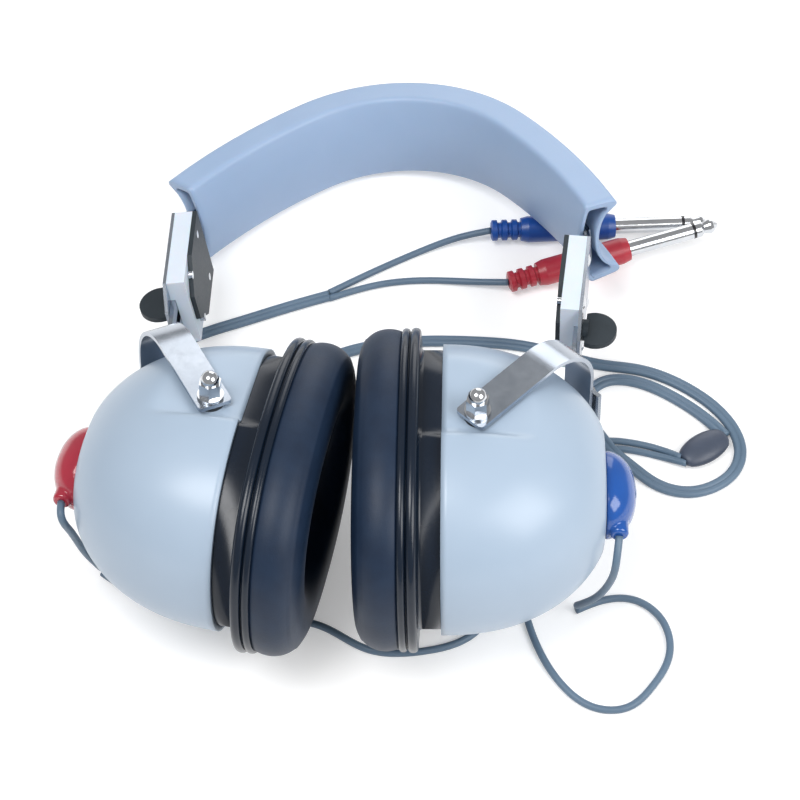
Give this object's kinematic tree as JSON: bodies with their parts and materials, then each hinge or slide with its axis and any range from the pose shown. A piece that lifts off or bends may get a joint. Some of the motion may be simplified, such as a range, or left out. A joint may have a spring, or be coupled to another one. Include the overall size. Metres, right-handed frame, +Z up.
{
  "type": "audiometric headset",
  "caption": "Noise excluding audiometric headset: domed cups on strap yokes, padded spring headband, screw clamped sliders, signal leads and jack plugs.",
  "frame": {"origin": "middle of the footprint of the headset without its cords, on the table that it lies on", "axes": "+X to the right across the two cups, +Y along the table towards the crown of the headband, +Z up from the table"},
  "size_m": [0.2512, 0.261, 0.1025],
  "materials": {
    "blue": "gloss moulded plastic",
    "charcoal": "dark enamel",
    "cord": "smooth vinyl",
    "cushion": "satin vinyl skin over foam",
    "earphone": "matt moulded plastic",
    "flange": "gloss moulded plastic",
    "foam": "open foam",
    "insulator": "gloss plastic",
    "nylon": "natural white nylon",
    "pad": "smooth soft vinyl",
    "red": "gloss moulded plastic",
    "screw": "dark enamel",
    "shell": "satin moulded plastic",
    "spacer": "matt rubber",
    "steel": "polished nickel plated strip"
  },
  "bodies": {
    "headband": {"headband_pad": "pad", "headband_spring": "steel", "spring_rivets": "steel", "left_end_plate": "steel", "left_clamp_block": "nylon", "left_inner_plate": "charcoal", "left_clamp_rivets": "steel", "right_end_plate": "steel", "right_clamp_block": "nylon", "right_inner_plate": "charcoal", "right_clamp_rivets": "steel", "main_cord": "cord", "y_bead": "cord", "red_lead": "cord", "blue_lead": "cord", "red_tail": "cord", "blue_tail": "cord", "red_boot": "red", "blue_boot": "blue", "red_sleeve": "steel", "blue_sleeve": "steel", "red_insulator": "insulator", "blue_insulator": "insulator", "red_tip": "steel", "blue_tip": "steel"},
    "left_thumb": {"left_thumb_screw": "screw"},
    "left_slide": {"left_slider": "steel", "left_swivel_bolt": "steel", "left_swivel_nut": "steel"},
    "left_yoke_body": {"left_yoke": "steel"},
    "left_cup": {"left_cup_shell": "shell", "left_cup_rim": "flange", "left_foam_liner": "foam", "left_ear_cushion": "cushion", "left_baffle": "earphone", "left_earphone": "earphone", "left_pivot_studs": "steel", "left_pivot_spacers": "spacer", "left_pivot_nuts": "steel", "left_acorn_nuts": "steel", "red_cap": "red", "red_drop": "cord"},
    "right_thumb": {"right_thumb_screw": "screw"},
    "right_slide": {"right_slider": "steel", "right_swivel_bolt": "steel", "right_swivel_nut": "steel"},
    "right_yoke_body": {"right_yoke": "steel"},
    "right_cup": {"right_cup_shell": "shell", "right_cup_rim": "flange", "right_foam_liner": "foam", "right_ear_cushion": "cushion", "right_baffle": "earphone", "right_earphone": "earphone", "right_pivot_studs": "steel", "right_pivot_spacers": "spacer", "right_pivot_nuts": "steel", "right_acorn_nuts": "steel", "blue_cap": "blue", "blue_drop": "cord"}
  },
  "joints": [
    {"name": "left_thumb_turn", "type": "hinge", "parent": "headband", "child": "left_thumb", "pos_m": [-0.06556, 0.02025, 0.03698], "axis": [-0.9905, 0.0066, -0.1376], "range_deg": [-90, 90]},
    {"name": "left_arm_slide", "type": "slide", "parent": "headband", "child": "left_slide", "axis": [-0.0237, -0.9921, 0.1235], "range_m": [-0.0114, 0.006]},
    {"name": "left_yoke_swivel", "type": "hinge", "parent": "left_slide", "child": "left_yoke_body", "pos_m": [-0.07022, -0.02111, 0.04163], "axis": [0.444, -0.879, 0.1736], "range_deg": [0, 4]},
    {"name": "left_cup_tilt", "type": "hinge", "parent": "left_yoke_body", "child": "left_cup", "pos_m": [-0.04735, -0.06638, 0.05057], "axis": [0.0342, 0.2103, 0.977], "range_deg": [0, 5]},
    {"name": "right_thumb_turn", "type": "hinge", "parent": "headband", "child": "right_thumb", "pos_m": [0.08271, 0.00258, 0.04486], "axis": [0.9901, -0.1301, 0.0519], "range_deg": [-90, 90]},
    {"name": "right_arm_slide", "type": "slide", "parent": "headband", "child": "right_slide", "axis": [-0.135, -0.9853, 0.1046], "range_m": [-0.0043, 0.008]},
    {"name": "right_yoke_swivel", "type": "hinge", "parent": "right_slide", "child": "right_yoke_body", "pos_m": [0.08069, -0.03239, 0.04868], "axis": [0.7037, 0.7086, -0.0523], "range_deg": [0, 4]},
    {"name": "right_cup_tilt", "type": "hinge", "parent": "right_yoke_body", "child": "right_cup", "pos_m": [0.04445, -0.06888, 0.05137], "axis": [0.0226, -0.096, -0.9951], "range_deg": [0, 5]}
  ]
}
